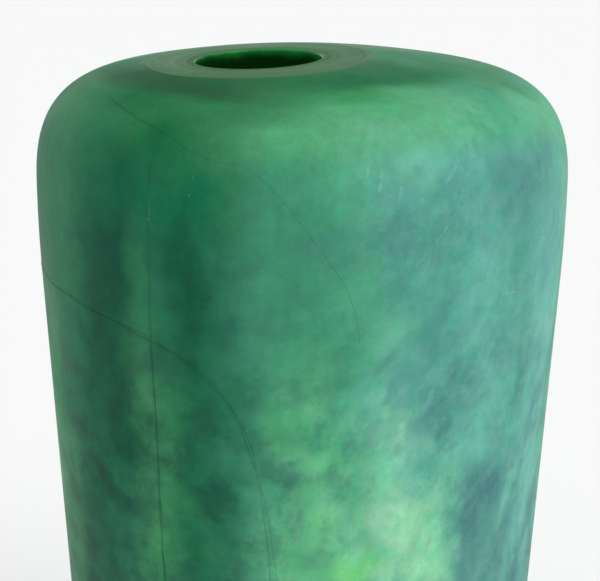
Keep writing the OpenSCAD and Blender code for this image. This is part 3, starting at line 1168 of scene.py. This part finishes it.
def lining_material():
    """Emerald glass of the bore, with painted light and shade: bright at the lip where light
    comes in, dark below it, and lighter again low down.
    """
    material, shader, surface = new_material("emerald_lining")
    place = shader.place()
    streak = centred_noise(shader, place, 70.0, 4.0, 0.6, 2 * MM)
    level = shader.math("ADD", shader.split(place)[2], streak)
    # Painted light and shade: a bright band at the lip, dark green below it, and a lighter
    # green low in the bore for the light that comes through the wall.
    lit = shader.remap(level, 324.5 * MM, 330.2 * MM)
    low = shader.remap(level, 321.5 * MM, 312 * MM)
    bore_painted_light_and_shade = shader.mix(low, rgb(4, 42, 12), rgb(26, 104, 38))
    colour = shader.mix(lit, bore_painted_light_and_shade, rgb(30, 140, 64))
    # The lining's ring on the ground flat gets the same painted reflection.
    colour = ground_colour(shader, place, colour)
    shader.feed(surface.inputs["Base Color"], colour)
    flat = ground_mask(shader, place)
    shader.feed(surface.inputs["Roughness"], shader.remap(flat, 0.0, 1.0, 0.2, 0.55))
    surface.inputs["Specular IOR Level"].default_value = GLASS_SPECULAR
    surface.inputs["Subsurface Weight"].default_value = 0.2
    surface.inputs["Subsurface Radius"].default_value = (0.1, 1.0, 0.3)
    surface.inputs["Subsurface Scale"].default_value = 0.004
    # Painted glow: a faint green emission stands in for the light that comes through the wall
    # into the bore.
    surface.inputs["Emission Color"].default_value = rgb(3, 25, 3)
    surface.inputs["Emission Strength"].default_value = 1.0
    return material


# Height over which a thread's strength changes.
THREAD_FADE = 30.0


def thread_material(name, tint, seed, level, below, above):
    """Glass thread: the colour around it, darkened by a tint.

    The tint has one strength below a height in millimetres and another above it.
    """
    material, shader, surface = new_material(name)
    place = shader.place()
    shifted = shader.vector("ADD", place, (seed, 0.0, 0.0))
    uneven = shader.remap(shader.noise(shifted, 60.0, 3.0, 0.6), 0.3, 0.7, 0.6, 1.0)
    start = level * MM
    end = (level + THREAD_FADE) * MM
    strength = shader.remap(shader.split(place)[2], start, end, below, above)
    amount = shader.math("MULTIPLY", uneven, strength)
    colour = shader.mix(amount, glass_colour(shader), tint, "MULTIPLY")
    shader.feed(surface.inputs["Base Color"], colour)
    surface.inputs["Roughness"].default_value = 0.5
    surface.inputs["Specular IOR Level"].default_value = GLASS_SPECULAR
    return material


# ---- build ------------------------------------------------------------------

def place_piece(obj, material, node):
    """Gives a piece its material and body, and hides the imported part of that node."""
    obj.data.materials.append(material)
    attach(obj, "root")
    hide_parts(node)


casing, coat, lining = make_layers()
place_piece(casing, satin_casing_material(), "outer_casing")
place_piece(coat, coat_material(), "colour_coat")
place_piece(lining, lining_material(), "inner_lining")

vertical, strand_a, strand_b, shoulder = make_threads()
dark = thread_material("thread_dark", (0.4, 0.56, 0.56, 1.0), 1.0, 226, 1.0, 0.4)
teal = thread_material("thread_teal", (0.5, 0.72, 0.7, 1.0), 2.0, 190, 0.5, 1.0)
pale = thread_material("thread_pale", (0.75, 0.88, 0.88, 1.0), 3.0, 285, 0.45, 0.05)
place_piece(vertical, dark, "vertical_thread")
place_piece(strand_a, teal, "curved_thread_a")
place_piece(strand_b, teal, "curved_thread_b")
place_piece(shoulder, pale, "shoulder_thread")


# ---- stage, light and camera ------------------------------------------------

FLOOR_HALF_WIDTH = 30000.0
# The floor lies this far below the foot, so that no faces coincide.
FLOOR_DROP = 0.05


def make_floor():
    """Plain pale floor."""
    signs = [(-1, -1), (1, -1), (1, 1), (-1, 1)]
    corners = [(x * FLOOR_HALF_WIDTH, y * FLOOR_HALF_WIDTH, -FLOOR_DROP) for x, y in signs]
    floor = mesh_object("floor", corners, [(0, 1, 2, 3)])
    material, _, surface = new_material("pale_floor")
    surface.inputs["Base Color"].default_value = (0.86, 0.86, 0.86, 1.0)
    surface.inputs["Roughness"].default_value = 0.8
    floor.data.materials.append(material)


def make_world():
    """Pale studio surround: bright low down, dimmer overhead."""
    world = bpy.data.worlds.new("studio")
    bpy.context.scene.world = world
    world.use_nodes = True
    shader = Shader(world.node_tree)
    background = world.node_tree.nodes["Background"]
    direction = shader.add("ShaderNodeTexCoord").outputs["Generated"]
    rise = shader.split(direction)[2]
    strength = shader.remap(rise, 0.2, 0.5, 0.92, 0.36)
    background.inputs["Color"].default_value = (0.99, 1.0, 1.0, 1.0)
    shader.feed(background.inputs["Strength"], strength)


def soft_sun(name, angle, elevation, strength, softness):
    """Broad even light from a compass angle and elevation, in degrees."""
    data = bpy.data.lights.new(name, "SUN")
    data.energy = strength
    data.angle = math.radians(softness)
    light = bpy.data.objects.new(name, data)
    bpy.context.scene.collection.objects.link(light)
    side = math.radians(angle)
    rise = math.radians(elevation)
    towards = Vector((
        math.sin(side) * math.cos(rise),
        -math.cos(side) * math.cos(rise),
        math.sin(rise)))
    light.rotation_euler = towards.to_track_quat("Z", "Y").to_euler()


CAMERA_PLACE = Vector((-0.5, -709.3, 425.65))
CAMERA_PITCH = math.radians(14.82)
CAMERA_ROLL = math.radians(-0.39)
CAMERA_LENS = 114.0
CAMERA_SENSOR = 36.0


def make_camera():
    """Camera just above the shoulder, looking slightly down."""
    data = bpy.data.cameras.new("camera")
    data.sensor_width = CAMERA_SENSOR
    data.lens = CAMERA_LENS
    data.clip_end = 100.0
    camera = bpy.data.objects.new("camera", data)
    bpy.context.scene.collection.objects.link(camera)
    ahead = Vector((0, math.cos(CAMERA_PITCH), -math.sin(CAMERA_PITCH)))
    above = Vector((0, math.sin(CAMERA_PITCH), math.cos(CAMERA_PITCH)))
    beside = Vector((1, 0, 0))
    right = math.cos(CAMERA_ROLL) * beside - math.sin(CAMERA_ROLL) * above
    up = math.sin(CAMERA_ROLL) * beside + math.cos(CAMERA_ROLL) * above
    turn = Matrix((right, up, -ahead)).transposed()
    camera.rotation_euler = turn.to_euler()
    camera.location = CAMERA_PLACE * MM
    bpy.context.scene.camera = camera


make_floor()
make_world()
make_camera()
soft_sun("key", 62, 42, 1.9, 60)
soft_sun("overhead", 20, 82, 0.9, 90)

bpy.context.scene.view_settings.view_transform = "Standard"
bpy.context.scene.view_settings.look = "None"
